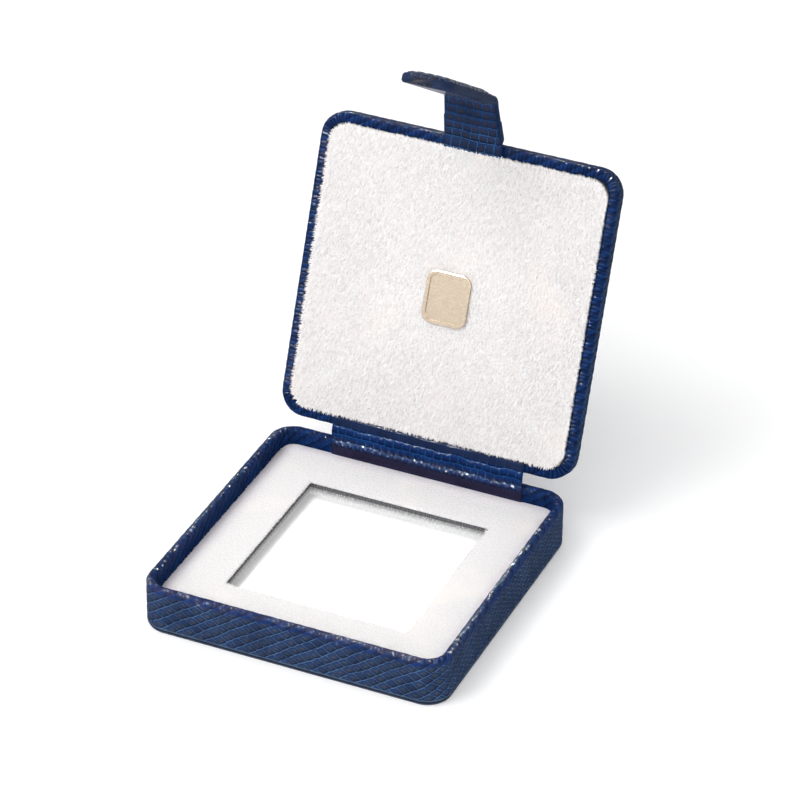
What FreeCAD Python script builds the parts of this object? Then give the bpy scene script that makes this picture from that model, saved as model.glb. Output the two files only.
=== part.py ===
import FreeCAD, Part
import math
import os

# Leather jewellery case, in millimetres.
# X runs along the hinge, -Y is the front, +Z is up.
# The origin is the middle of the face that the base stands on.
# The lid stands open at rest, with the closing tab reaching forward from its far edge.

Vector = FreeCAD.Vector
same_place = 1e-6

# ---- overall sizes
case_width = 98.0
case_depth = 98.0
base_height = 15.5
lid_thickness = 5.8
corner_radius = 7.9

# ---- leather and rounding
leather = 0.6
edge_round = 1.3
inner_edge_round = 1.1
slip_gap = 0.2

# ---- base, from the floor up
bottom_leather = 0.3
bottom_card = 0.4
bottom_inset = 0.5
turn_in = 6.6
floor_board = 2.6
wall_board = 1.5
lining_floor = 0.9
lining_wall = 0.6
well_size = 60.0
well_depth = 4.6
mat_board = 1.5
mat_suede = 0.55

# ---- lid
lid_board = 2.0
lid_rim_board = 2.1
pad_card = 1.2
pad_foam = 1.5
pad_suede = 0.9
pad_corner_radius = 6.0

# ---- hinge strip
open_angle = 110.6
closed_gap = 1.8
hinge_back_inset = 0.55
hinge_rise = 1.86
lid_back_inset = 1.0
lid_front_inset = 0.2
strip_width = 64.0
strip_offset = 2.0
strip_layer = 0.4

# ---- badge plate
badge_width = 14.6
badge_height = 16.6
badge_corner_radius = 3.2
badge_thickness = 1.3
badge_border = 1.1
badge_field_depth = 0.4
badge_shift = 1.0
badge_offset = 0.8
post_radius = 0.6
post_spacing = 8.0
post_end_gap = 0.1
nut_radius = 2.2
nut_thickness = 0.5

# ---- closing tab
tab_offset = 1.0
tab_root_width = 19.0
tab_fold_width = 17.2
tab_tip_width = 16.4
tab_tip_radius = 5.0
tab_length = 42.0
tab_leather = 0.8
tab_stiffener = 1.0
tip_core = 1.4
tab_wall_gap = 0.3
tab_start = 0.8
root_rest_angle = 32.6
fold_rest_angle = 46.0
magnet_radius = 5.0
magnet_thickness = 1.2
magnet_from_fold = 26.0
keeper_width = 14.0
keeper_length = 20.0
keeper_thickness = 0.5
keeper_corner_radius = 1.0

# ---- heights and faces that follow from the sizes
panel_top = bottom_leather + bottom_card
flange_top = panel_top + leather
floor_top = flange_top + floor_board
well_floor = floor_top + lining_floor
mat_top = well_floor + well_depth
mat_board_top = mat_top - mat_suede
mat_board_low = mat_board_top - mat_board
wall_thickness = leather + wall_board + leather
base_back = case_depth / 2
base_front = -case_depth / 2
wall_inner_back = base_back - wall_thickness

lid_low = base_height + closed_gap
lid_high = lid_low + lid_thickness
lid_back = base_back - lid_back_inset
lid_front = base_front + lid_front_inset
lid_depth = lid_back - lid_front
lid_middle = (lid_back + lid_front) / 2
lid_rim = leather + lid_rim_board + leather
board_low = lid_high - leather - lid_board
card_low = board_low - pad_card
foam_low = card_low - pad_foam
suede_low = foam_low - pad_suede
recess_back = lid_back - lid_rim
recess_front = lid_front + lid_rim

hinge_y = base_back - hinge_back_inset
hinge_z = lid_low + hinge_rise

strip_thickness = 2 * strip_layer
root_y = base_front
root_z = base_height
fold_reach = base_height
tab_thickness = 2 * tab_leather + tab_stiffener
tip_thickness = 2 * tab_leather + tip_core


def plate(width, depth, radius, low, high, x=0.0, y=0.0):
    """A flat slab with rounded corners, between two heights."""
    a = width / 2
    b = depth / 2
    k = radius * (1 - math.sqrt(0.5))
    corners = [
        (Vector(a, b - radius), Vector(a - k, b - k), Vector(a - radius, b)),
        (Vector(-a + radius, b), Vector(-a + k, b - k), Vector(-a, b - radius)),
        (Vector(-a, -b + radius), Vector(-a + k, -b + k), Vector(-a + radius, -b)),
        (Vector(a - radius, -b), Vector(a - k, -b + k), Vector(a, -b + radius)),
    ]
    edges = []
    for number, (start, middle, end) in enumerate(corners):
        edges.append(Part.Arc(start, middle, end).toShape())
        following = corners[(number + 1) % 4][0]
        edges.append(Part.LineSegment(end, following).toShape())
    face = Part.Face(Part.Wire(edges))
    slab = face.extrude(Vector(0, 0, high - low))
    slab.translate(Vector(x, y, low))
    return slab


def box(x_low, x_high, y_low, y_high, z_low, z_high):
    """A plain block between six planes."""
    return Part.makeBox(x_high - x_low, y_high - y_low, z_high - z_low, Vector(x_low, y_low, z_low))


def base_plate(inset, low, high):
    """A slab with the base's outline, drawn in from its outside."""
    return plate(case_width - 2 * inset, case_depth - 2 * inset, corner_radius - inset, low, high)


def lid_plate(inset, low, high):
    """A slab with the closed lid's outline, drawn in from its outside."""
    width = case_width - 2 * inset
    return plate(width, lid_depth - 2 * inset, corner_radius - inset, low, high, y=lid_middle)


def round_level_edges(shape, height, radius, outline=None):
    """Rounds the edges at one height, or only those there that an outline test picks."""
    picked = []
    for edge in shape.Edges:
        bounds = edge.BoundBox
        level = abs(bounds.ZMin - height) < same_place and abs(bounds.ZMax - height) < same_place
        if level and (outline is None or outline(edge)):
            picked.append(edge)
    return shape.makeFillet(radius, picked)


def on_outline(width, depth, y=0.0):
    """A test for edges that lie on the outer outline of a slab of this size."""
    def test(edge):
        for vertex in edge.Vertexes:
            far_x = abs(abs(vertex.X) - width / 2) < same_place
            far_y = abs(abs(vertex.Y - y) - depth / 2) < same_place
            if not (far_x or far_y):
                return False
        return True
    return test


def side_prism(points, x_low, x_high):
    """A straight prism along X with its section drawn in Y and Z."""
    corners = [Vector(x_low, y, z) for y, z in points]
    wire = Part.makePolygon(corners + [corners[0]])
    return Part.Face(wire).extrude(Vector(x_high - x_low, 0, 0))


def turned(shape, y, z, degrees):
    """A copy of the shape turned about an axis along X."""
    moved = shape.copy()
    moved.rotate(Vector(0, y, z), Vector(1, 0, 0), degrees)
    return moved


def turned_point(point, y, z, degrees):
    """A (y, z) point turned about an axis along X."""
    angle = math.radians(degrees)
    across = point[0] - y
    up = point[1] - z
    return (y + across * math.cos(angle) - up * math.sin(angle),
            z + across * math.sin(angle) + up * math.cos(angle))


def opened(shape):
    """Takes a piece of the closed lid to its open rest pose."""
    return turned(shape, hinge_y, hinge_z, -open_angle)


def save(name, shape):
    """Writes one sub-part, named as its node."""
    shape.exportStep("parts/" + name + ".step")


# ---- notches and the hinge strip

def strip_span():
    """The hinge strip's two ends along X."""
    return strip_offset - strip_width / 2, strip_offset + strip_width / 2


def base_notch():
    """The room that the base leaf takes behind the spacer and the mat."""
    x_low, x_high = strip_span()
    y_low = wall_inner_back - strip_thickness - slip_gap
    return box(x_low - slip_gap, x_high + slip_gap, y_low, base_back, 0, base_height)


def hinge_base_leaf():
    """The strip's lower leaf, glued inside the back wall."""
    x_low, x_high = strip_span()
    y_low = wall_inner_back - strip_thickness
    return box(x_low, x_high, y_low, wall_inner_back, floor_top, base_height - edge_round)


def hinge_lid_leaf():
    """The strip's upper leaf, over the lid's rim and down inside it."""
    x_low, x_high = strip_span()
    over_rim = box(x_low, x_high, recess_back - strip_thickness, lid_back - edge_round,
                   lid_low - strip_thickness, lid_low)
    turned_down = box(x_low, x_high, recess_back - strip_thickness, recess_back, lid_low, board_low)
    return opened(over_rim.fuse(turned_down).removeSplitter())


def strip_bend(depth):
    """Where the strip leaves the wall's plane for the lid's, at a depth from its glued face."""
    turn = math.radians(-open_angle)
    y = wall_inner_back - depth
    below_hinge = lid_low - depth - hinge_z
    along_lid = (y - hinge_y + below_hinge * math.sin(turn)) / math.cos(turn)
    return turned_point((hinge_y + along_lid, lid_low - depth), hinge_y, hinge_z, -open_angle)


def hinge_flex(near_layer):
    """One leather layer of the strip's free part, between the two leaves."""
    x_low, x_high = strip_span()
    front = strip_thickness if near_layer else strip_layer
    back = front - strip_layer
    leaf_top = base_height - edge_round
    leaf_end = lid_back - edge_round
    upper_front = turned_point((leaf_end, lid_low - front), hinge_y, hinge_z, -open_angle)
    upper_back = turned_point((leaf_end, lid_low - back), hinge_y, hinge_z, -open_angle)
    section = [(wall_inner_back - front, leaf_top), (wall_inner_back - back, leaf_top),
               strip_bend(back), upper_back, upper_front, strip_bend(front)]
    return side_prism(section, x_low, x_high)


# ---- base

def base_wall_frame():
    """The stiff board wall inside the leather, one bent and joined ring."""
    ring = base_plate(leather, flange_top, base_height - leather)
    ring = ring.cut(base_plate(leather + wall_board, flange_top, base_height - leather))
    return round_level_edges(ring, base_height - leather, leather)


def base_floor_board():
    """The floor board, let in between the walls."""
    return base_plate(leather + wall_board, flange_top, floor_top)


def base_leather_wrap():
    """Leather up the outside, over the rim, down the inside and turned in underneath."""
    skin = base_plate(0, panel_top, base_height)
    skin = skin.cut(base_plate(wall_thickness, flange_top, base_height))
    skin = skin.cut(base_plate(turn_in, panel_top, flange_top))
    skin = round_level_edges(skin, base_height, edge_round, on_outline(case_width, case_depth))
    inner_width = case_width - 2 * wall_thickness
    inner_depth = case_depth - 2 * wall_thickness
    skin = round_level_edges(skin, base_height, inner_edge_round, on_outline(inner_width, inner_depth))
    skin = round_level_edges(skin, panel_top, leather / 2, on_outline(case_width, case_depth))
    return skin.cut(base_wall_frame()).cut(base_floor_board())


def base_bottom_card():
    """The card inside the bottom panel."""
    return base_plate(bottom_inset + bottom_leather, bottom_leather, panel_top)


def base_bottom_leather():
    """The bottom panel's leather, turned up round its card."""
    return base_plate(bottom_inset, 0, panel_top).cut(base_bottom_card())


def keeper_plate():
    """The steel plate under the floor board that the tip's magnet holds to."""
    y = base_front + magnet_from_fold
    return plate(keeper_length, keeper_width, keeper_corner_radius, panel_top, panel_top + keeper_thickness,
                 x=tab_offset, y=y)


def well_spacer():
    """The foam ring that carries the mat round the well."""
    ring = base_plate(wall_thickness + slip_gap, floor_top, mat_board_low)
    side = well_size + 2 * lining_wall
    half = side / 2
    return ring.cut(box(-half, half, -half, half, floor_top, mat_board_low)).cut(base_notch())


def well_lining():
    """The smooth white lining of the well: its floor and four walls."""
    half = well_size / 2 + lining_wall
    tray = box(-half, half, -half, half, floor_top, mat_board_low)
    half = well_size / 2
    return tray.cut(box(-half, half, -half, half, well_floor, mat_board_low))


def mat_layer(low, high):
    """One layer of the mat, with its square window and the notch for the strip."""
    layer = base_plate(wall_thickness + slip_gap, low, high)
    half = well_size / 2
    return layer.cut(box(-half, half, -half, half, low, high)).cut(base_notch())


# ---- lid, built closed and then opened

def lid_board_solid():
    """The lid's stiff board, under its outer leather."""
    return lid_plate(leather, board_low, board_low + lid_board)


def lid_rim_frame_solid():
    """The raised board rim round the pad."""
    ring = lid_plate(leather, lid_low + leather, board_low)
    return ring.cut(lid_plate(leather + lid_rim_board, lid_low + leather, board_low))


def lid_leather_wrap():
    """Leather over the lid's outer face, round its edges, over the rim and down inside it."""
    skin = lid_plate(0, lid_low, lid_high).cut(lid_plate(lid_rim, lid_low, board_low))
    outline = on_outline(case_width, lid_depth, lid_middle)
    skin = round_level_edges(skin, lid_low, edge_round, outline)
    skin = round_level_edges(skin, lid_high, edge_round)
    inner = on_outline(case_width - 2 * lid_rim, lid_depth - 2 * lid_rim, lid_middle)
    skin = round_level_edges(skin, lid_low, inner_edge_round, inner)
    return skin.cut(lid_board_solid()).cut(lid_rim_frame_solid())


def pad_notches():
    """The room for the hinge strip and the tab's leaf where they turn down inside the rim."""
    x_low, x_high = strip_span()
    back = box(x_low - slip_gap, x_high + slip_gap, recess_back - strip_thickness - slip_gap, recess_back,
               lid_low - lid_thickness, lid_high)
    half = tab_root_width / 2 + slip_gap
    front = box(tab_offset - half, tab_offset + half, recess_front, recess_front + tab_leather + slip_gap,
                lid_low - lid_thickness, lid_high)
    return back.fuse(front)


def badge_y():
    """The badge's place along the closed lid."""
    return lid_middle + badge_shift


def post_places():
    """The badge's two posts along X."""
    return badge_offset - post_spacing / 2, badge_offset + post_spacing / 2


def pad_layer(low, high):
    """One layer of the pad, notched and drilled for the badge's posts."""
    width = case_width - 2 * lid_rim - 2 * slip_gap
    depth = lid_depth - 2 * lid_rim - 2 * slip_gap
    layer = plate(width, depth, pad_corner_radius, low, high, y=lid_middle).cut(pad_notches())
    for x in post_places():
        layer = layer.cut(Part.makeCylinder(post_radius, high - low, Vector(x, badge_y(), low)))
    return layer


def pad_card_solid():
    """The pad's card, bored from behind for the two push nuts."""
    card = pad_layer(card_low, board_low)
    for x in post_places():
        seat = Part.makeCylinder(nut_radius, nut_thickness, Vector(x, badge_y(), board_low - nut_thickness))
        card = card.cut(seat)
    return card


def badge_plate_solid():
    """A blank metal plate with a raised border, on the pad's face."""
    low = suede_low - badge_thickness
    blank = plate(badge_width, badge_height, badge_corner_radius, low, suede_low, badge_offset, badge_y())
    blank = round_level_edges(blank, low, badge_field_depth / 2)
    field_width = badge_width - 2 * badge_border
    field_height = badge_height - 2 * badge_border
    field = plate(field_width, field_height, badge_corner_radius - badge_border, low,
                  low + badge_field_depth, badge_offset, badge_y())
    return blank.cut(field)


def badge_posts():
    """Two posts from the badge plate through the pad."""
    length = board_low - post_end_gap - suede_low
    posts = [Part.makeCylinder(post_radius, length, Vector(x, badge_y(), suede_low)) for x in post_places()]
    return Part.makeCompound([opened(post) for post in posts])


def badge_push_nuts():
    """Two push nuts that hold the posts behind the pad's card."""
    nuts = []
    for x in post_places():
        seat = Vector(x, badge_y(), board_low - nut_thickness)
        disc = Part.makeCylinder(nut_radius - slip_gap, nut_thickness, seat)
        nuts.append(opened(disc.cut(Part.makeCylinder(post_radius, nut_thickness, seat))))
    return Part.makeCompound(nuts)


# ---- closing tab
# Built straight out from the closed lid: s runs along -Y from a pivot, w is the height above it.

def strap_width(s):
    """The upright's width at a distance from its root pivot."""
    return tab_root_width + (tab_fold_width - tab_root_width) * s / fold_reach


def strap_layer(s_low, s_high, w_low, w_high):
    """One tapering layer of the upright, straight."""
    near = strap_width(s_low) / 2
    far = strap_width(s_high) / 2
    corners = [
        Vector(tab_offset - near, root_y - s_low, root_z + w_low),
        Vector(tab_offset + near, root_y - s_low, root_z + w_low),
        Vector(tab_offset + far, root_y - s_high, root_z + w_low),
        Vector(tab_offset - far, root_y - s_high, root_z + w_low),
    ]
    outline = Part.makePolygon(corners + [corners[0]])
    return Part.Face(outline).extrude(Vector(0, 0, w_high - w_low))


def tip_layer(w_low, w_high):
    """One layer of the tip, straight, with its far corners rounded."""
    near = tab_fold_width / 2
    far = tab_tip_width / 2
    fold_y = root_y - fold_reach
    corners = [
        Vector(tab_offset - near, fold_y - tab_start, root_z + w_low),
        Vector(tab_offset + near, fold_y - tab_start, root_z + w_low),
        Vector(tab_offset + far, fold_y - tab_length, root_z + w_low),
        Vector(tab_offset - far, fold_y - tab_length, root_z + w_low),
    ]
    outline = Part.makePolygon(corners + [corners[0]])
    layer = Part.Face(outline).extrude(Vector(0, 0, w_high - w_low))
    tip_edges = [edge for edge in layer.Edges if is_tip_corner(edge, fold_y - tab_length)]
    return layer.makeFillet(tab_tip_radius, tip_edges)


def is_tip_corner(edge, y):
    """True for the two upright edges at the tip's end."""
    bounds = edge.BoundBox
    upright = bounds.ZMax - bounds.ZMin > same_place
    return upright and bounds.YMax < y + same_place


def upright_posed(shape):
    """Bends the upright to its rest angle on the lid and opens the lid."""
    return opened(turned(shape, root_y, root_z, root_rest_angle))


def tip_posed(shape):
    """Bends the tip to its rest angle on the upright, then poses the upright."""
    return upright_posed(turned(shape, root_y - fold_reach, root_z, fold_rest_angle))


def tab_root_leaf():
    """The tab's leaf over the lid's rim, turned down inside it."""
    half = tab_root_width / 2
    over_rim = box(tab_offset - half, tab_offset + half, lid_front + edge_round, recess_front + tab_leather,
                   lid_low - tab_leather, lid_low)
    turned_down = box(tab_offset - half, tab_offset + half, recess_front, recess_front + tab_leather,
                      lid_low, board_low)
    return opened(over_rim.fuse(turned_down).removeSplitter())


def tab_root_flex():
    """The leather that bends at the lid's edge, from the leaf to the upright."""
    half = tab_root_width / 2
    leaf_end = lid_front + edge_round
    upright_start = root_y - tab_start
    low = root_z + tab_wall_gap
    outer = turned_point((upright_start, low + tab_leather), root_y, root_z, root_rest_angle)
    inner = turned_point((upright_start, low), root_y, root_z, root_rest_angle)
    section = [(leaf_end, lid_low - tab_leather), (leaf_end, lid_low), outer, inner]
    return opened(side_prism(section, tab_offset - half, tab_offset + half))


def tab_fold_flex():
    """The leather that bends between the upright and the tip."""
    half = tab_fold_width / 2
    fold_y = root_y - fold_reach
    low = root_z + tab_wall_gap
    upright_end = fold_y + tab_start
    tip_start = fold_y - tab_start
    tip_inner = turned_point((tip_start, low), fold_y, root_z, fold_rest_angle)
    tip_outer = turned_point((tip_start, low + tip_thickness), fold_y, root_z, fold_rest_angle)
    crown = turned_point((fold_y, low + tip_thickness), fold_y, root_z, fold_rest_angle / 2)
    throat = turned_point((fold_y, low), fold_y, root_z, fold_rest_angle / 2)
    section = [(upright_end, low), (upright_end, low + tab_thickness), crown, tip_outer, tip_inner, throat]
    return upright_posed(side_prism(section, tab_offset - half, tab_offset + half))


def magnet_solid():
    """The disc magnet, straight, in the tip's core."""
    y = root_y - fold_reach - magnet_from_fold
    low = root_z + tab_wall_gap + tab_leather
    return Part.makeCylinder(magnet_radius, magnet_thickness, Vector(tab_offset, y, low))


def build():
    """Makes every sub-part and writes it."""
    os.makedirs("parts", exist_ok=True)

    save("base_wall_frame", base_wall_frame())
    save("base_leather_wrap", base_leather_wrap())
    save("base_floor_board", base_floor_board())
    save("base_bottom_card", base_bottom_card())
    save("base_bottom_leather", base_bottom_leather())
    save("keeper_plate", keeper_plate())
    save("well_spacer", well_spacer())
    save("well_lining", well_lining())
    save("mat_board", mat_layer(mat_board_low, mat_board_top))
    save("mat_suede", mat_layer(mat_board_top, mat_top))

    save("hinge_base_leaf", hinge_base_leaf())
    save("hinge_flex_face", hinge_flex(True))
    save("hinge_flex_lining", hinge_flex(False))
    save("hinge_lid_leaf", hinge_lid_leaf())

    save("lid_board", opened(lid_board_solid()))
    save("lid_rim_frame", opened(lid_rim_frame_solid()))
    save("lid_leather_wrap", opened(lid_leather_wrap()))
    save("pad_card", opened(pad_card_solid()))
    save("pad_foam", opened(pad_layer(foam_low, card_low)))
    save("pad_suede", opened(pad_layer(suede_low, foam_low)))
    save("badge_plate", opened(badge_plate_solid()))
    save("badge_posts", badge_posts())
    save("badge_push_nuts", badge_push_nuts())

    save("tab_root_leaf", tab_root_leaf())
    save("tab_root_flex", tab_root_flex())
    upright_end = fold_reach - tab_start
    front = tab_wall_gap
    middle = front + tab_leather
    back = middle + tab_stiffener
    save("tab_front_leather", upright_posed(strap_layer(tab_start, upright_end, front, middle)))
    save("tab_stiffener", upright_posed(strap_layer(tab_start, upright_end, middle, back)))
    save("tab_back_leather", upright_posed(strap_layer(tab_start, upright_end, back, back + tab_leather)))
    save("tab_fold_flex", tab_fold_flex())

    core_high = middle + tip_core
    save("tip_inner_leather", tip_posed(tip_layer(front, middle)))
    save("tip_core", tip_posed(tip_layer(middle, core_high).cut(magnet_solid())))
    save("tip_outer_leather", tip_posed(tip_layer(core_high, core_high + tab_leather)))
    save("tip_magnet", tip_posed(magnet_solid()))


build()
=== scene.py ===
import math
import random
from dataclasses import dataclass

import bpy
import numpy as np
from mathutils import Matrix, Vector, noise


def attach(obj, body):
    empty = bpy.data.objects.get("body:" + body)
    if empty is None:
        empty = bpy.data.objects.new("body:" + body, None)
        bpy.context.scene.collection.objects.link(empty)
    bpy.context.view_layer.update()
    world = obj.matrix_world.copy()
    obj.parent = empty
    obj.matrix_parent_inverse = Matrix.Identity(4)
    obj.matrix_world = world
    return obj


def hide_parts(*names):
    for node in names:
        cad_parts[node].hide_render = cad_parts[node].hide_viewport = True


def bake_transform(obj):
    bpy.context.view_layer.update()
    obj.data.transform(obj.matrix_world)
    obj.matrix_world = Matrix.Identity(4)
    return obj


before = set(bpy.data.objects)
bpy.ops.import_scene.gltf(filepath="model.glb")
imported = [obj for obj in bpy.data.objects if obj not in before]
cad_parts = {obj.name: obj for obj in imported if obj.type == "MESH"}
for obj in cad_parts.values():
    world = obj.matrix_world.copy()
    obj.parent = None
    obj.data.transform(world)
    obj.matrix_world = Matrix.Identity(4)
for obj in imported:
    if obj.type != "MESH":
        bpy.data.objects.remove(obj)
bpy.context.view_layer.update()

# Blender's vector noise starts from the clock unless it is given a seed.
noise.seed_set(1)

# Sizes are in millimetres, in the part's own frame, and become metres in make_mesh.
MM = 0.001
CASE_WIDTH, CASE_DEPTH = 98.0, 98.0
BASE_HEIGHT = 15.5
LID_FRONT, LID_BACK = -48.8, 48.0
LID_LOW, LID_HIGH = 17.3, 23.1
CORNER = 7.9
SKIN = 0.6
EDGE_ROUND, INNER_ROUND = 1.3, 1.1
WALL = 2.7
LID_RIM = 3.3
BOARD_LOW = 20.5
PANEL_TOP, FLANGE_TOP = 0.7, 1.3
TURNED_UNDER = 6.6
FLOOR_TOP = 3.9
MAT_TOP, MAT_LOW = 9.4, 8.85
PAD_FACE = 16.9
WELL = 60.0
RELIEF = 0.10
# The lid's axis in Y and Z, and its turn from shut to the rest pose.
HINGE, OPEN = (48.45, 19.16), math.radians(-110.6)
# The hinge strip's two ends in X, its thickness, and where along it the fold over the wall's rim lies.
STRIP, STRIP_THICK, FOLD_AT = (-30.0, 34.0), 0.8, 11.4
# The tab's middle in X, its first bend in Y and Z, the distance to its second, and both turns at rest.
TAB_X, ROOT, REACH = 1.0, (-49.0, 15.5), 15.5
ROOT_TURN, FOLD_TURN = math.radians(32.6), math.radians(46.0)

# The embossed scales: row angle, row pitch, cross angle, cell pitch, stagger from row to row.
BIAS = (35.0, 2.8, -30.0, 2.9, 0.45)
STRAIGHT = (0.0, 2.4, 90.0, 2.7, 0.5)
SQUARES = (0.0, 3.1, 90.0, 2.8, 0.2)

# Rings of points in the coverings, and where along its path the lid's covering reaches the rim.
RING_STEP, INNERMOST_RING = 0.5, 47.5
RIM_AT = 8.0


# ---- frames and mesh helpers

def smooth(t):
    """0 up to t = 0, 1 from t = 1, and an even ease between."""
    t = min(max(t, 0.0), 1.0)
    return t * t * (3 - 2 * t)


def turned(y, z, pivot, angle):
    """A (y, z) point turned about an axis along X."""
    across, up = y - pivot[0], z - pivot[1]
    return (pivot[0] + across * math.cos(angle) - up * math.sin(angle),
            pivot[1] + across * math.sin(angle) + up * math.cos(angle))


def opened(points):
    """Takes closed-lid points to the open rest pose."""
    out = np.array(points, float)
    out[:, 1], out[:, 2] = turned(out[:, 1], out[:, 2], HINGE, OPEN)
    return out


def make_mesh(name, points, faces, material, vectors=None, rounded=True):
    """A mesh object from points in millimetres, with named vector attributes on its points."""
    mesh = bpy.data.meshes.new(name)
    mesh.from_pydata([tuple(p) for p in np.array(points, float) * MM], [], faces)
    mesh.validate()
    for key, values in (vectors or {}).items():
        layer = mesh.attributes.new(key, "FLOAT_VECTOR", "POINT")
        layer.data.foreach_set("vector", np.array(values, np.float32).ravel())
    if rounded:
        mesh.shade_smooth()
    mesh.materials.append(material)
    obj = bpy.data.objects.new(name, mesh)
    bpy.context.collection.objects.link(obj)
    return obj


def rounded_rectangle(width, depth, radius, inset, per_side, per_corner):
    """A rounded rectangle's points, anticlockwise from its front right corner: place, outward normal,
    number of the corner, and the share of the corner's round and of the side after it that lie behind."""
    half_x, half_y = width / 2 - inset - radius, depth / 2 - inset - radius
    corners = [(1, -1), (1, 1), (-1, 1), (-1, -1)]
    out = []
    for index, (side_x, side_y) in enumerate(corners):
        for k in range(per_corner + per_side):
            turn, share = min(k / per_corner, 1.0), max(k - per_corner, 0) / per_side
            angle = math.radians(90 * (index - 1) + 90 * turn)
            nx, ny = math.cos(angle), math.sin(angle)
            next_x, next_y = corners[(index + 1) % 4]
            x = side_x * half_x + (next_x - side_x) * half_x * share + radius * nx
            y = side_y * half_y + (next_y - side_y) * half_y * share + radius * ny
            out.append((x, y, nx, ny, index, turn, share))
    return out


def outline(width, depth, inset, middle_y=0.0, per_side=150, per_corner=24):
    """A covering's ring, drawn in by inset, from the middle of its back and round to it again.
    Each point has its place, outward normal, distance round and how much of a corner it is."""
    arc = CORNER * math.pi / 2
    sides = (depth - 2 * CORNER, width - 2 * CORNER)
    before = [0.0]
    for index in range(4):
        before.append(before[-1] + arc + sides[index % 2])
    ring = rounded_rectangle(width, depth, max(CORNER - inset, 0.4), inset, per_side, per_corner)
    first = 2 * per_corner + per_side + per_side // 2
    out = []
    for x, y, nx, ny, index, turn, share in ring[first:] + ring[:first]:
        around = before[index] + arc * turn + sides[index % 2] * share
        out.append((x, middle_y + y, nx, ny, around, math.sin(math.pi * turn) if turn < 1 else 0.0))
    zero = out[0][4]
    out = [(*place, (around - zero) % before[-1], corner) for *place, around, corner in out]
    return out + [(*out[0][:4], before[-1], 0.0)]


def round_to(points, radius, at, steps=6):
    """Rounds one corner of a polyline of (inset, height) points."""
    before, corner, after = (np.array(points[i], float) for i in (at - 1, at, at + 1))
    a, b = ((end - corner) / np.linalg.norm(end - corner) for end in (before, after))
    half = math.acos(np.clip(a @ b, -1, 1)) / 2
    reach = radius / math.tan(half)
    start, end = corner + a * reach, corner + b * reach
    centre = corner + (a + b) / np.linalg.norm(a + b) * radius / math.sin(half)
    arc = []
    for k in range(steps + 1):
        share = k / steps
        p = start * (1 - share) + end * share - centre
        arc.append(tuple(centre + p / np.linalg.norm(p) * radius))
    return points[:at] + arc + points[at + 1:]


def filled(points, step):
    """The polyline with points added so that no run is longer than step."""
    out = [tuple(points[0])]
    for a, b in zip(points, points[1:]):
        a, b = np.array(a, float), np.array(b, float)
        count = max(1, int(math.ceil(np.linalg.norm(b - a) / step)))
        out += [tuple(a + (b - a) * k / count) for k in range(1, count + 1)]
    return out


def lengths(points):
    """Distance along a polyline at each of its points."""
    out = [0.0]
    for a, b in zip(points, points[1:]):
        out.append(out[-1] + math.dist(a, b))
    return out


def wandered(x, y):
    """Pattern coordinates with the slow and the fine drift of real skin."""
    slow = noise.noise_vector(Vector((x * 0.16, y * 0.16, 3.1))) * 0.5
    fine = noise.noise_vector(Vector((x * 0.9, y * 0.9, 9.4))) * 0.18
    return x + slow.x + fine.x, y + slow.y + fine.y, 0.0


def near_whole(values):
    """How near each value is to a whole number: 1 on it, 0 half way between two."""
    return np.abs((values % 1.0) - 0.5) * 2


def scale_domes(skin, rows):
    """The height of the embossed scales at pattern coordinates: 0 in the grooves, 1 on the crowns."""
    row_angle, row_pitch, cross_angle, cell_pitch, stagger = rows
    rise, lean = math.radians(row_angle), math.radians(cross_angle)
    x, y = np.array(skin)[:, 0], np.array(skin)[:, 1]
    row = (y * math.cos(rise) - x * math.sin(rise)) / row_pitch
    column = (y * math.cos(lean) - x * math.sin(lean)) / (cell_pitch * abs(math.sin(lean - rise)))
    column += np.floor(row) * stagger
    return 1 - np.maximum(near_whole(row), near_whole(column) * 0.97) ** 2.6


def raised(obj, rises):
    """Moves each point out along its normal by its own rise, in millimetres."""
    mesh = obj.data
    normals = np.empty(len(mesh.vertices) * 3, np.float32)
    places = np.empty(len(mesh.vertices) * 3, np.float32)
    mesh.vertex_normals.foreach_get("vector", normals)
    mesh.vertices.foreach_get("co", places)
    places += normals * np.repeat(np.array(rises, np.float32) * MM, 3)
    mesh.vertices.foreach_set("co", places)
    mesh.update()


def ring_faces(rows, count, closed=False, seam=False):
    """Quads between neighbouring rings of points: from the last to the first too if closed, and none
    from a ring's last point to its first if there is a seam."""
    faces = []
    for row in range(rows if closed else rows - 1):
        low, high = row * count, ((row + 1) % rows) * count
        for k in range(count - 1 if seam else count):
            following = (k + 1) % count
            faces.append((low + k, low + following, high + following, high + k))
    return faces


# ---- node materials

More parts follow.
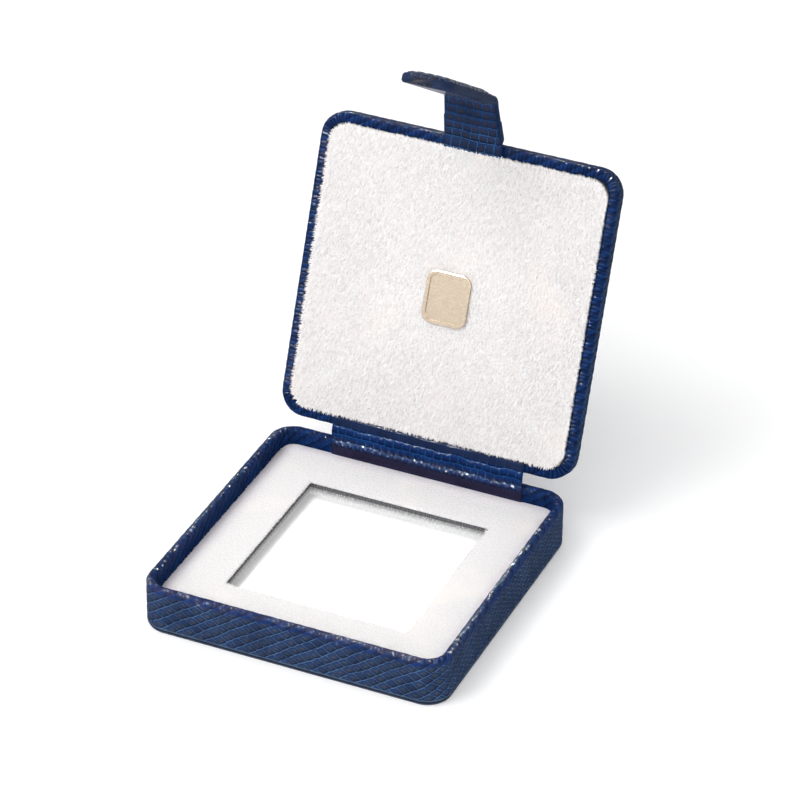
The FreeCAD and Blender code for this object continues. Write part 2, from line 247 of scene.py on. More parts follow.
class Graph:
    """A node material and short calls for its nodes. A value is a socket or a number."""

    def __init__(self, name):
        self.material = bpy.data.materials.new(name)
        self.material.use_nodes = True
        self.tree = self.material.node_tree
        self.tree.nodes.clear()
        out = self.tree.nodes.new("ShaderNodeOutputMaterial")
        self.shader = self.tree.nodes.new("ShaderNodeBsdfPrincipled")
        self.tree.links.new(self.shader.outputs[0], out.inputs[0])

    def finished(self, settings):
        """The material, once each named input of its shader has its value."""
        for name, value in settings.items():
            self.put(self.shader.inputs[name], value)
        return self.material

    def put(self, socket, value):
        if isinstance(value, bpy.types.NodeSocket):
            self.tree.links.new(value, socket)
        elif isinstance(value, (tuple, list)) and len(value) == 3 and socket.type == "RGBA":
            socket.default_value = (*value, 1.0)
        else:
            socket.default_value = value

    def node(self, kind, inputs, **settings):
        """A new node with its settings, and its inputs by name or number."""
        node = self.tree.nodes.new("ShaderNode" + kind)
        for key, value in settings.items():
            setattr(node, key, value)
        for key, value in inputs.items():
            self.put(node.inputs[key], value)
        return node

    def math(self, operation, a, b=0.0, clamp=False):
        return self.node("Math", {0: a, 1: b}, operation=operation, use_clamp=clamp).outputs[0]

    def times(self, a, b):
        return self.math("MULTIPLY", a, b)

    def plus(self, a, b):
        return self.math("ADD", a, b)

    def rest_of(self, value, share=1.0):
        """1 less that share of the value."""
        return self.math("SUBTRACT", 1.0, self.times(value, share))

    def attribute(self, name):
        return self.node("Attribute", {}, attribute_name=name).outputs["Vector"]

    def split(self, vector):
        return tuple(self.node("SeparateXYZ", {0: vector}).outputs)

    def join(self, x, y, z=0.0):
        return self.node("CombineXYZ", {0: x, 1: y, 2: z}).outputs[0]

    def object_mm(self):
        """The piece's own coordinates, in millimetres."""
        place = self.node("TexCoord", {}).outputs["Object"]
        return self.node("VectorMath", {0: place, "Scale": 1 / MM}, operation="SCALE").outputs[0]

    def stretched(self, vector, factors):
        """A vector with each part made longer by its own factor."""
        return self.node("VectorMath", {0: vector, 1: factors}, operation="MULTIPLY").outputs[0]

    def noise(self, vector, scale, detail=2.0, roughness=0.5):
        inputs = {"Vector": vector, "Scale": scale, "Detail": detail, "Roughness": roughness}
        return self.node("TexNoise", inputs).outputs["Fac"]

    def white(self, vector):
        return self.node("TexWhiteNoise", {"Vector": vector}).outputs["Value"]

    def cell_edge(self, vector, scale):
        """Distance to the nearest edge of a pattern of irregular cells."""
        inputs = {"Vector": vector, "Scale": scale}
        return self.node("TexVoronoi", inputs, feature="DISTANCE_TO_EDGE").outputs["Distance"]

    def ramp(self, value, low, high, to_low=0.0, to_high=1.0):
        """Eases from to_low, where the value is low, to to_high, where it is high."""
        inputs = dict(enumerate((value, low, high, to_low, to_high)))
        return self.node("MapRange", inputs, interpolation_type="SMOOTHSTEP").outputs[0]

    def mix(self, share, a, b, blend="MIX"):
        inputs = {"Factor": share, "A": a, "B": b}
        return self.node("Mix", inputs, data_type="RGBA", blend_type=blend).outputs["Result"]

    def scaled(self, colour, factor):
        """A colour made darker or lighter by a factor."""
        return self.mix(1.0, colour, self.join(factor, factor, factor), "MULTIPLY")

    def bump(self, height, distance_mm):
        return self.node("Bump", {"Distance": distance_mm * MM, "Height": height}).outputs[0]


# ---- leather

# Of the three navies below, the third is painted sheen: the bluer navy of the rims where they catch the
# light.
NAVY, WORN_NAVY, SHEEN_NAVY = (0.0060, 0.026, 0.095), (0.024, 0.030, 0.052), (0.002, 0.024, 0.125)
BROWN, SLATE, TIP_NAVY = (0.030, 0.026, 0.034), (0.056, 0.066, 0.088), (0.030, 0.042, 0.078)
PALE_LINE, BLUE_LINE, INK_LINE = (0.12, 0.205, 0.34), (0.035, 0.12, 0.29), (0.012, 0.065, 0.19)
# Both line colours below are painted glints: paler lines near the tab's root and on its tip.
ROOT_GLINT_LINE, TIP_GLINT_LINE = (0.06, 0.17, 0.36), (0.15, 0.21, 0.33)
# The two band colours below are painted shade, for the hinge strip's flat bands below and above its fold.
LOWER_BAND_SHADE, UPPER_BAND_SHADE = (0.024, 0.017, 0.036), (0.014, 0.021, 0.050)
FOOT_SHADOW, FOOT_GLOW = (0.010, 0.013, 0.020), (0.075, 0.125, 0.205)
LID_PLEAT, EDGE_PLEAT = 1.3, 2.2


def saw(g, value):
    """How near a value is to a whole number: 1 on it, 0 half way between two."""
    part = g.math("FRACT", value)
    return g.math("ABSOLUTE", g.times(g.math("SUBTRACT", part, 0.5), 2.0))


def lattice(g, x, y, row_angle, row_pitch, cross_angle, cell_pitch, stagger):
    """Scales in rows: the row value and the column value, whole on a line, and the cell's number."""
    rise, lean = math.radians(row_angle), math.radians(cross_angle)
    row = g.plus(g.times(x, -math.sin(rise) / row_pitch),
                 g.times(y, math.cos(rise) / row_pitch))
    pitch = cell_pitch * abs(math.sin(lean - rise))
    column = g.plus(g.times(x, -math.sin(lean) / pitch),
                    g.times(y, math.cos(lean) / pitch))
    number = g.math("FLOOR", row)
    column = g.plus(column, g.times(number, stagger))
    return row, column, g.join(number, g.math("FLOOR", column))


@dataclass
class Leather:
    """One covering. Rows of lengths are distances along its path, between which something comes in
    and, where there are four, goes out again."""
    name: str
    rows: tuple
    relief: float
    brown_share: float
    line_colour: tuple
    line_share: float
    shine_at: tuple
    shine: float
    shine_elsewhere: float
    patch_colour: tuple = BROWN
    broken: float = 0.45
    pleats: tuple = None
    bands: tuple = None
    foot: tuple = None
    plain: tuple = None
    quiet_edges: bool = False
    painted_sheen: tuple = None
    tip: tuple = None


def embossing(g, where, leather):
    """The scales: row value, cell number, nearness to an edge, light lines, height over the grooves."""
    x, y, _ = g.split(where)
    row, column, cell = lattice(g, x, y, *leather.rows)
    row_line, cross_line = saw(g, row), saw(g, column)
    line = g.math("MAXIMUM", g.ramp(row_line, 0.86, 0.97), g.times(g.ramp(cross_line, 0.78, 0.98), 0.6))
    line = g.times(line, g.ramp(g.noise(where, 1.4, 2.0), 0.3, 0.6, leather.broken, 1.0))
    edge = g.math("MAXIMUM", row_line, g.times(cross_line, 0.97))
    height = g.math("SUBTRACT", 1.0, g.math("POWER", edge, 2.6))
    height = g.plus(height, g.times(g.noise(where, 3.2, 3.0, 0.6), 0.06))
    height = g.plus(height, g.times(g.white(cell), 0.10))
    height = g.plus(height, g.times(g.math("FRACT", row), 0.15))
    return row, cell, edge, line, height


def rim_pleats(g, u, v):
    """The fine pleats that cross the lid's rim, from -1 to 1."""
    drift = g.noise(g.join(g.times(u, 0.5), g.times(v, 0.06)), 1.0, 1.0, 0.5)
    turn = g.times(u, 2 * math.pi / LID_PLEAT)
    return g.math("COSINE", g.plus(turn, g.times(drift, 9.0)))


def edge_pleats(g, where, u):
    """The soft pleats that cross a wall's upper edge, with a little unevenness."""
    drift = g.times(g.noise(where, 0.5, 1.0), 5.0)
    pleat = g.math("COSINE", g.plus(g.times(u, 2 * math.pi / EDGE_PLEAT), drift))
    return g.plus(pleat, g.times(g.noise(where, 1.6, 1.0), 1.5))


def scale_colour(g, where, leather, row, cell, edge, quiet, v):
    """The navy of the scales, lighter towards one side of each row by painted shade, with brown or slate
    middles.
    """
    middle = g.ramp(edge, 0.15, 0.90, 1.0, 0.0)
    patch = g.times(g.ramp(g.white(cell), -0.6, 0.7), middle)
    patch = g.times(patch, leather.brown_share)
    patch = g.times(patch, g.ramp(g.noise(where, 1.1, 2.0), 0.3, 0.55, 0.45, 1.0))
    speck = g.times(g.ramp(g.noise(where, 1.9, 3.0, 0.65), 0.42, 0.66), 0.55)
    navy = g.mix(speck, NAVY, WORN_NAVY)
    # Painted shade: each row of scales is darker on one side and lighter on the other, as if lit from
    # that side.
    painted_row_shade = g.ramp(g.math("FRACT", row), 0.1, 0.95, 0.55, 1.2)
    if leather.quiet_edges:
        painted_row_shade = g.plus(g.times(g.math("SUBTRACT", painted_row_shade, 0.8), quiet), 0.8)
    # Painted sheen: from start to end along the path the navy turns bluer, and it stays so further on,
    # over the rims.
    if leather.painted_sheen:
        start, end, share = leather.painted_sheen
        navy = g.mix(g.ramp(v, start, end, 0.0, share), navy, SHEEN_NAVY)
    if leather.tip:
        navy = g.mix(g.times(g.ramp(v, *leather.tip), 0.5), navy, TIP_NAVY)
    return g.mix(g.times(patch, quiet), g.scaled(navy, painted_row_shade), leather.patch_colour)


def leather_material(leather):
    """Glossy navy leather embossed with staggered rows of scales."""
    g = Graph(leather.name)
    where = g.attribute("skin")
    u, v, corner = g.split(g.attribute("run"))
    row, cell, edge, line, height = embossing(g, where, leather)
    quiet = 1.0
    if leather.pleats:
        pleats = rim_pleats(g, u, v)
        on_rim = g.ramp(v, *leather.pleats)
        raised_pleats = g.times(pleats, g.plus(g.times(corner, 0.3), 0.8))
        height = g.plus(g.times(height, g.rest_of(on_rim, 0.75)),
                        g.times(raised_pleats, on_rim))
    if leather.bands:
        low_start, low_end, high_start, high_end = leather.bands
        flat = g.math("MAXIMUM", g.ramp(v, low_start, low_end, 1.0, 0.0), g.ramp(v, high_start, high_end))
        height = g.times(height, g.rest_of(flat, 0.8))
    if leather.plain:
        start, end, pattern_left, swell = leather.plain
        quiet = g.ramp(v, start, end, 1.0, pattern_left)
        pleat = g.times(edge_pleats(g, where, u), g.ramp(v, start - 0.6, end, 0.0, swell))
        height = g.plus(g.times(height, g.ramp(v, start, end, 1.0, 0.45)), pleat)
    if leather.quiet_edges:
        quiet = g.ramp(u, 0.35, 0.75, 1.0, 0.0)
        height = g.times(height, quiet)

    base = scale_colour(g, where, leather, row, cell, edge, quiet, v)
    line = g.times(g.times(line, leather.line_share), quiet)
    line_colour = leather.line_colour
    if leather.tip:
        # Painted glints: paler blue lines near the tab's root, fading out by 9 mm past it, and paler
        # grey-blue lines on its tip.
        line_colour = g.mix(g.ramp(v, 1.0, 9.0, 0.9, 0.0), line_colour, ROOT_GLINT_LINE)
        line_colour = g.mix(g.ramp(v, *leather.tip), line_colour, TIP_GLINT_LINE)
    if leather.pleats:
        line = g.times(line, g.rest_of(on_rim, 0.8))
    if leather.bands:
        line = g.times(line, g.rest_of(flat, 0.85))
        # Painted shade: the flat bands, on the wall and inside the lid's rim, take a darker, brownish
        # navy.
        band_shade_colour = g.mix(g.ramp(v, low_end, high_start), LOWER_BAND_SHADE, UPPER_BAND_SHADE)
        base = g.mix(g.times(flat, 0.8), base, band_shade_colour)
    base = g.mix(line, base, line_colour)
    if leather.pleats:
        # Painted shade in the hollows of the rim's pleats and painted light on their crests.
        base = g.mix(on_rim, base, g.scaled(base, g.ramp(pleats, -0.9, 0.6, 0.6, 1.1)))
    if leather.foot:
        start, top, glow_end = leather.foot
        base = g.mix(g.ramp(v, start, top, 1.0, 0.0), base, FOOT_SHADOW)
        glow = g.times(g.ramp(v, start, top), g.ramp(v, top, glow_end, 1.0, 0.0))
        base = g.mix(g.times(glow, 0.8), base, FOOT_GLOW)
    shade = g.ramp(g.noise(where, 0.12, 2.0), 0.3, 0.7, 0.82, 1.12)
    rough = g.ramp(g.noise(where, 1.3, 3.0, 0.6), 0.3, 0.75, 0.32, 0.50)
    if leather.bands:
        rough = g.plus(rough, g.times(flat, 0.15))
    rise_start, rise_end, drop_start, drop_end = leather.shine_at
    shine = g.times(g.ramp(v, rise_start, rise_end), g.ramp(v, drop_start, drop_end, 1.0, 0.0))
    if leather.quiet_edges:
        shine = g.times(shine, quiet)
    shine = g.ramp(shine, 0.0, 1.0, leather.shine_elsewhere, leather.shine)
    normal = g.bump(height, leather.relief)
    return g.finished({"Base Color": g.scaled(base, shade), "Roughness": rough, "Specular IOR Level": 0.0,
                       "Coat Weight": shine, "Coat Roughness": 0.07, "Coat IOR": 1.5,
                       "Normal": normal, "Coat Normal": normal})


def suede_material(name, colour, shade_colour, stretch, depth_mm, shade_edge_at=None):
    """White brushed suede whose pile lies one way, with painted shade, a mauve grey, along its outer edge
    where one is given.
    """
    g = Graph(name)
    where = g.attribute("nap")
    strokes = g.noise(g.stretched(where, stretch), 1.0, 4.0, 0.62)
    tufts = g.noise(where, 1.7, 3.0, 0.6)
    wide = g.noise(where, 0.045, 2.0)
    nap = g.plus(g.times(strokes, 0.65), g.times(tufts, 0.35))
    base = g.mix(g.rest_of(g.ramp(nap, 0.33, 0.62)), colour, shade_colour)
    base = g.mix(g.ramp(wide, 0.45, 0.75, 0.0, 0.5), base, (0.93, 0.86, 0.82))
    if shade_edge_at:
        # Painted shade: a mauve grey within 6 mm of the edge, where the walls shade the mat.
        x, y, _ = g.split(where)
        far = g.math("MAXIMUM", g.math("ABSOLUTE", x), g.math("ABSOLUTE", y))
        base = g.mix(g.ramp(far, shade_edge_at - 6.0, shade_edge_at, 0.0, 0.55), base, (0.52, 0.47, 0.56))
    height = g.plus(strokes, g.times(tufts, 0.7))
    return g.finished({"Base Color": base, "Roughness": 0.95, "Specular IOR Level": 0.12,
                       "Sheen Weight": 0.35, "Sheen Roughness": 0.6, "Normal": g.bump(height, depth_mm)})


def board_edge_material():
    """The mat board's cut edge: dark grey fibres."""
    g = Graph("cut_board")
    where = g.object_mm()
    streaks = g.noise(g.stretched(where, (2.2, 2.2, 0.5)), 1.0, 4.0, 0.7)
    grey = g.mix(g.ramp(streaks, 0.3, 0.7), (0.045, 0.045, 0.05), (0.19, 0.19, 0.20))
    return g.finished({"Base Color": grey, "Roughness": 0.95, "Specular IOR Level": 0.1,
                       "Normal": g.bump(streaks, 0.12)})


def lining_material():
    """The well's smooth white lining, with painted shade on its walls, darker towards their top, and on
    the floor next to them, broken up by fluffy noise.
    """
    g = Graph("satin_lining")
    where = g.object_mm()
    fluff = g.noise(g.stretched(where, (1.9, 1.9, 1.1)), 1.0, 4.0, 0.7)
    x, y, z = g.split(where)
    outward = g.math("MAXIMUM", g.math("ABSOLUTE", x), g.math("ABSOLUTE", y))
    inward = g.math("SUBTRACT", WELL / 2, outward)
    # Painted shade: grey rising up the walls towards the mat, and on the floor within 4 mm of the walls.
    wall = g.plus(g.ramp(z, 4.9, 7.4, 0.0, 0.62), g.ramp(inward, 0.0, 4.0, 0.28, 0.0))
    share = g.math("MULTIPLY", wall, g.ramp(fluff, 0.25, 0.60, 0.35, 1.0), clamp=True)
    return g.finished({"Base Color": g.mix(share, (0.95, 0.95, 0.95), (0.10, 0.10, 0.105)),
                       "Roughness": g.ramp(g.noise(where, 0.4, 2.0), 0.3, 0.7, 0.34, 0.42),
                       "Specular IOR Level": 0.2, "Normal": g.bump(fluff, 0.02)})


def gold_material():
    """Satin pale-gold plating with faint rolling marks."""
    g = Graph("pale_gold_plating")
    where = g.object_mm()
    marks = g.noise(g.stretched(where, (0.5, 6.0, 6.0)), 1.0, 3.0, 0.6)
    speck = g.noise(where, 2.2, 2.0)
    gold = g.mix(g.ramp(speck, 0.3, 0.7), (0.49, 0.405, 0.31), (0.52, 0.435, 0.34))
    rough = g.ramp(marks, 0.3, 0.7, 0.25, 0.28)
    return g.finished({"Base Color": gold, "Metallic": 1.0, "Roughness": rough,
                       "Normal": g.bump(marks, 0.0015)})


def hidden_material(name, light, dark, scale, metallic=0.0, rough=(0.6, 0.85)):
    """A speckled material for the pieces inside: board, foam, card and bare steel."""
    g = Graph(name)
    where = g.object_mm()
    speck = g.noise(where, scale, 4.0, 0.65)
    return g.finished({"Base Color": g.mix(g.ramp(speck, 0.3, 0.7), dark, light), "Metallic": metallic,
                       "Roughness": g.ramp(speck, 0.3, 0.7, *rough), "Normal": g.bump(speck, 0.05)})


def plain_leather_material():
    """Smooth navy leather with a fine grain, for the bottom panel and the pieces' reverse sides."""
    g = Graph("plain_navy_leather")
    where = g.object_mm()
    grain = g.cell_edge(where, 1.6)
    fine = g.noise(where, 3.5, 3.0, 0.6)
    height = g.plus(g.ramp(grain, 0.0, 0.25), g.times(fine, 0.4))
    navy = g.mix(g.ramp(fine, 0.3, 0.7), (0.010, 0.022, 0.075), (0.022, 0.036, 0.090))
    return g.finished({"Base Color": navy, "Roughness": g.ramp(fine, 0.3, 0.7, 0.42, 0.6),
                       "Coat Weight": 0.15, "Coat Roughness": 0.3, "Normal": g.bump(height, 0.05)})


# ---- base

def base_skin(material):
    """Leather up the outside of the wall, over the rim and down inside."""
    path = [(TURNED_UNDER, PANEL_TOP), (0.0, PANEL_TOP), (0.0, BASE_HEIGHT), (WALL, BASE_HEIGHT),
            (WALL, FLANGE_TOP)]
    for at, radius, steps in ((3, INNER_ROUND, 8), (2, EDGE_ROUND, 8), (1, SKIN / 2, 4)):
        path = round_to(path, radius, at, steps)
    glued = [(WALL - SKIN, FLANGE_TOP), (WALL - SKIN, BASE_HEIGHT - SKIN), (SKIN, BASE_HEIGHT - SKIN),
             (SKIN, FLANGE_TOP), (TURNED_UNDER, FLANGE_TOP)]
    path = filled(path, RING_STEP)
    first_shown = TURNED_UNDER + SKIN
    last_shown = lengths(path)[-1] - 1.0
    profile = path + glued
    points, skin, run, share = [], [], [], []
    for (inset, height), v in zip(profile, lengths(profile)):
        ring = outline(CASE_WIDTH, CASE_DEPTH, inset)
        for x, y, _, _, u, corner in ring:
            points.append((x, y, height))
            skin.append(wandered(u, v))
            run.append((u, v, corner))
            from_joint = min(u, ring[-1][4] - u)
            share.append(smooth(from_joint / 2) if first_shown < v < last_shown else 0.0)
    faces = ring_faces(len(profile), len(points) // len(profile), closed=True, seam=True)
    obj = make_mesh("base_leather", points, faces, material, {"skin": skin, "run": run})
    raised(obj, scale_domes(skin, BIAS) * RELIEF * np.array(share))
    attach(obj, "base")
    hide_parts("base_leather_wrap")


def lid_skin(material):
    """Leather over the lid's back, round its edges, over the rim and down inside it."""
    depth = LID_BACK - LID_FRONT
    middle = (LID_BACK + LID_FRONT) / 2
    edge_inset = 2.0
    path = [(edge_inset, LID_HIGH), (0.0, LID_HIGH), (0.0, LID_LOW), (LID_RIM, LID_LOW),
            (LID_RIM, BOARD_LOW)]
    for at, radius in ((3, INNER_ROUND), (2, EDGE_ROUND), (1, EDGE_ROUND)):
        path = round_to(path, radius, at, 8)
    path = filled(path, RING_STEP)
    insets = np.arange(INNERMOST_RING, edge_inset, -RING_STEP)
    profile = [(inset, LID_HIGH, 0.0) for inset in insets]
    profile += [(inset, z, far) for (inset, z), far in zip(path, lengths(path))]
    held = outline(CASE_WIDTH, depth, edge_inset, middle)
    points, skin, run, share = [], [], [], []
    for inset, height, far in profile:
        for place, fixed in zip(outline(CASE_WIDTH, depth, inset, middle), held):
            x, y, nx, ny, u, corner = place
            points.append((x, y, height))
            if far == 0.0:
                skin.append(wandered(x, y))
            else:
                skin.append(wandered(fixed[0] + nx * far, fixed[1] + ny * far))
            run.append((u, far, corner))
            share.append(smooth(RIM_AT - far))
    count = len(held)
    faces = [tuple(reversed(face)) for face in ring_faces(len(profile), count, seam=True)]
    faces.append(tuple(range(count - 1)))
    obj = make_mesh("lid_leather", opened(points), faces, material, {"skin": skin, "run": run})
    raised(obj, scale_domes(skin, BIAS) * RELIEF * np.array(share))
    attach(obj, "lid")
    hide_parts("lid_leather_wrap")


# ---- strips of leather: a centre line in Y and Z with a width along X

def strap_section(half, thick, round_mm, across):
    """A strap's cross-section, as (across, up) points from the left end of its high side."""
    r = min(round_mm, thick / 2 - 0.01, half * 0.9)
    steps = 5

    def corner(x, up, start, first, last):
        """Points of a quarter round about (x, up), which turns back from its start angle."""
        angles = [start - k * math.pi / 2 / steps for k in range(first, last)]
        return [(x + r * math.cos(angle), up + r * math.sin(angle)) for angle in angles]

    side = half - r
    section = [(side * (-1 + 2 * k / across), thick) for k in range(across + 1)]
    section += corner(side, thick - r, math.pi / 2, 1, steps + 1)
    section += corner(side, r, 0.0, 0, steps + 1)
    section += [(side * (1 - 2 * k / across), 0.0) for k in range(1, across + 1)]
    section += corner(-side, r, -math.pi / 2, 1, steps + 1)
    section += corner(-side, thick - r, math.pi, 0, steps)
    return section


def strap(name, stations, material, round_mm, across, relief):
    """A closed strap. Each station: (point low, point high, x middle, half width, distance along).
    relief takes the pattern coordinates and the runs, and gives the rise of the high side."""
    points, skin, run, share = [], [], [], []
    for low, high, x, half, s in stations:
        low, high = np.array(low, float), np.array(high, float)
        up = high - low
        thick = np.linalg.norm(up)
        up /= thick
        section = strap_section(half, thick, round_mm, across)
        for px, pw in section:
            yz = low + up * pw
            points.append((x + px, yz[0], yz[1]))
            side = 1.0 if pw > thick / 2 else 0.0
            edge = max(0.0, 1 - (half - abs(px)) / 1.2)
            skin.append(wandered(px if side else px + 40.0, s))
            run.append((edge, s, side))
            share.append(side * smooth((half - abs(px) - round_mm) / 0.8))
    count = len(section)
    faces = ring_faces(len(stations), count)
    faces.append(tuple(reversed(range(count))))
    faces.append(tuple(range((len(stations) - 1) * count, len(stations) * count)))
    (low, high), ahead = stations[0][:2], np.subtract(stations[1][1], stations[0][1])
    up = np.subtract(high, low)
    if ahead[0] * up[1] < ahead[1] * up[0]:
        faces = [tuple(reversed(face)) for face in faces]
    obj = make_mesh(name, points, faces, material, {"skin": skin, "run": run})
    raised(obj, relief(np.array(skin), np.array(run)) * np.array(share))
    return obj


def strip_bend(depth):
    """Where the hinge strip leaves the wall's plane for the lid's."""
    y = CASE_DEPTH / 2 - WALL - depth
    below = LID_LOW - depth - HINGE[1]
    along = (y - HINGE[0] + below * math.sin(OPEN)) / math.cos(OPEN)
    return turned(HINGE[0] + along, LID_LOW - depth, HINGE, OPEN)


def hinge_strip(material):
    """The leather strip from inside the base's back wall to inside the lid's rim."""
    def face(depth):
        """The strip's face at that depth from its back: up the wall, over, and into the lid's rim."""
        inner = LID_BACK - LID_RIM - depth
        path = [(CASE_DEPTH / 2 - WALL - depth, FLOOR_TOP), strip_bend(depth),
                turned(inner, LID_LOW - depth, HINGE, OPEN), turned(inner, BOARD_LOW, HINGE, OPEN)]
        return round_to(round_to(path, 1.1 + depth, 2, 8), 2.6 - depth, 1, 8)

    middle, half = (STRIP[0] + STRIP[1]) / 2, (STRIP[1] - STRIP[0]) / 2
    low_path, high_path = resampled(face(0.0), face(STRIP_THICK), 0.26)
    stations = [(low, high, middle, half, far)
                for low, high, far in zip(low_path, high_path, lengths(high_path))]

    def folds(skin, run):
        """The fold over the wall's rim, pressed into pleats, and the scales above it."""
        s = run[:, 1]
        fold = np.clip((s - FOLD_AT + 2.0) / 1.9, 0, 1) ** 2
        fold *= 0.5 + 0.5 * np.cos(math.pi * np.clip((s - FOLD_AT) / 1.1, 0, 1))
        pleat = np.cos(skin[:, 0] * 2 * math.pi / 2.5) * np.exp(-((s - FOLD_AT) / 1.3) ** 2)
        above = np.clip((s - FOLD_AT - 0.8) / 1.0, 0, 1) * np.clip((17.8 - s) / 2.5, 0, 1)
        return fold * 0.8 + pleat * 0.42 + above * scale_domes(skin, STRAIGHT) * 0.15

    obj = strap("hinge_strip", stations, material, 0.3, 190, folds)
    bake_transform(obj)
    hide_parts("hinge_base_leaf", "hinge_flex_face", "hinge_flex_lining", "hinge_lid_leaf")


def resampled(a, b, step):
    """Two polylines with matching corners, both cut into the same number of short runs."""
    out_a, out_b = [tuple(a[0])], [tuple(b[0])]
    for k in range(1, len(a)):
        run = max(math.dist(a[k], a[k - 1]), math.dist(b[k], b[k - 1]))
        count = max(1, int(math.ceil(run / step)))
        for j in range(1, count + 1):
            share = j / count
            out_a.append(tuple(np.array(a[k - 1]) * (1 - share) + np.array(a[k]) * share))
            out_b.append(tuple(np.array(b[k - 1]) * (1 - share) + np.array(b[k]) * share))
    return out_a, out_b


# ---- closing tab

TAB_LENGTH = 42.0
TAB_GAP = 0.3
ROOT_HALF, FOLD_HALF, TIP_HALF = 9.5, 8.6, 8.2
TIP_RADIUS = 5.0
UPRIGHT_THICK, TIP_THICK, TAB_LEATHER = 2.6, 3.0, 0.8
END_ROUND, END_THINNING = 1.2, 1.5
GLUED_END, BEND_HALF = 1.5, 1.4
SEAM = 7.75


def tab_point(s, w):
    """The tab's point at distance s past its root and height w, in the rest pose."""
    fold_s = s - REACH
    fold = FOLD_TURN * smooth((fold_s + 1.3) / 2.6)
    y, z = ROOT[0] - REACH - fold_s, ROOT[1] + w
    y, z = turned(y, z, (ROOT[0] - REACH, ROOT[1]), fold)
    root = ROOT_TURN * smooth((s + 1.4) / 2.6)
    y, z = turned(y, z, ROOT, root)
    return turned(y, z, HINGE, OPEN)


def tab_half(s):
    """The tab's half width at distance s past its root."""
    if s <= 0:
        return ROOT_HALF
    if s < REACH:
        return ROOT_HALF + (FOLD_HALF - ROOT_HALF) * s / REACH
    far = s - REACH
    half = FOLD_HALF + (TIP_HALF - FOLD_HALF) * far / TAB_LENGTH
    left = TAB_LENGTH - far
    if left < TIP_RADIUS:
        half -= TIP_RADIUS - math.sqrt(max(TIP_RADIUS ** 2 - (TIP_RADIUS - left) ** 2, 0.0))
    return half


def tab_low(s):
    """The tab's inner face, as a height over its root."""
    lid_side = LID_LOW - TAB_LEATHER - ROOT[1]
    return lid_side + (TAB_GAP - lid_side) * smooth((s + 1.1) / 1.9)


def tab_thick(s):
    """The tab's thickness at distance s past its root."""
    thick = TAB_LEATHER + (UPRIGHT_THICK - TAB_LEATHER) * smooth((s - 0.2) / 0.9)
    thick += (TIP_THICK - UPRIGHT_THICK) * smooth((s - REACH + 2) / 4)
    left = REACH + TAB_LENGTH - s
    if left < END_ROUND:
        thick -= END_THINNING * (1 - math.sqrt(max(1 - (1 - left / END_ROUND) ** 2, 0.0)))
    return thick


def tab_stations(distances):
    """Strap stations at those distances past the tab's root."""
    out = []
    for s in distances:
        low = tab_low(s)
        high = low + tab_thick(s)
        left = REACH + TAB_LENGTH - s
        if left < END_ROUND:
            middle = TAB_GAP + TIP_THICK / 2
            low, high = middle - tab_thick(s) / 2, middle + tab_thick(s) / 2
        out.append((tab_point(s, low), tab_point(s, high), TAB_X, tab_half(s), s))
    return out


def glued_stations():
    """The tab's leaf that is glued inside the lid's rim, as strap stations up to its root."""
    inner = LID_FRONT + LID_RIM
    back = [(inner, BOARD_LOW), (inner, LID_LOW), (ROOT[0] + GLUED_END, LID_LOW)]
    low = LID_LOW - TAB_LEATHER
    front = [(inner + TAB_LEATHER, BOARD_LOW), (inner + TAB_LEATHER, low), (ROOT[0] + GLUED_END, low)]
    back, front = resampled(round_to(back, 1.0, 1, 8), round_to(front, 1.0 + TAB_LEATHER, 1, 8), 0.5)
    along = lengths(front)
    start = -along[-1] - GLUED_END
    return [(turned(*f, HINGE, OPEN), turned(*b, HINGE, OPEN), TAB_X, ROOT_HALF, start + far)
            for b, f, far in zip(back, front, along)]


def closing_tab(material):
    """The tab in two pieces that meet at the middle of its upright."""
    def scales(skin, run):
        """The scales, and past the fold the swell of the filled tip."""
        s, x = run[:, 1], skin[:, 0]
        past = np.clip((s - REACH - 1.0) / 6.0, 0, 1) * np.clip((REACH + TAB_LENGTH - s) / 6.0, 0, 1)
        domes = scale_domes(skin, SQUARES) * (0.14 + past * 0.08)
        return domes + past * np.clip(1 - (x / TIP_HALF) ** 4, 0, 1)

    root_stations = glued_stations()[:-1] + tab_stations(np.linspace(-GLUED_END, SEAM, 28))
    root = strap("tab_root", root_stations, material, 0.35, 46, scales)
    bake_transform(root)
    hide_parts("tab_root_leaf", "tab_root_flex", "tab_front_leather", "tab_stiffener",
                "tab_back_leather")

    round_end = REACH + TAB_LENGTH
    distances = list(np.linspace(SEAM, round_end - END_ROUND, 120))
    distances += [round_end - END_ROUND * (1 - math.sin(k * math.pi / 20)) for k in range(1, 10)]
    end = strap("tab_end", tab_stations(distances), material, 1.0, 46, scales)
    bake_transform(end)
    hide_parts("tab_fold_flex", "tip_inner_leather", "tip_core", "tip_outer_leather")


# ---- suede

def ring_points(width, depth, radius, inset, per_side, per_corner):
    """The (x, y) points of a suede edge, drawn in by inset from its own corner radius."""
    ring = rounded_rectangle(width, depth, max(radius - inset, 0.15), inset, per_side, per_corner)
    return [(x, y) for x, y, *_ in ring]


FACE_SIDE, FACE_CORNER = 48, 8
FOOT_RINGS = 3
PAD_FOOT_POINTS = 4 * (FACE_SIDE + FACE_CORNER) * FOOT_RINGS


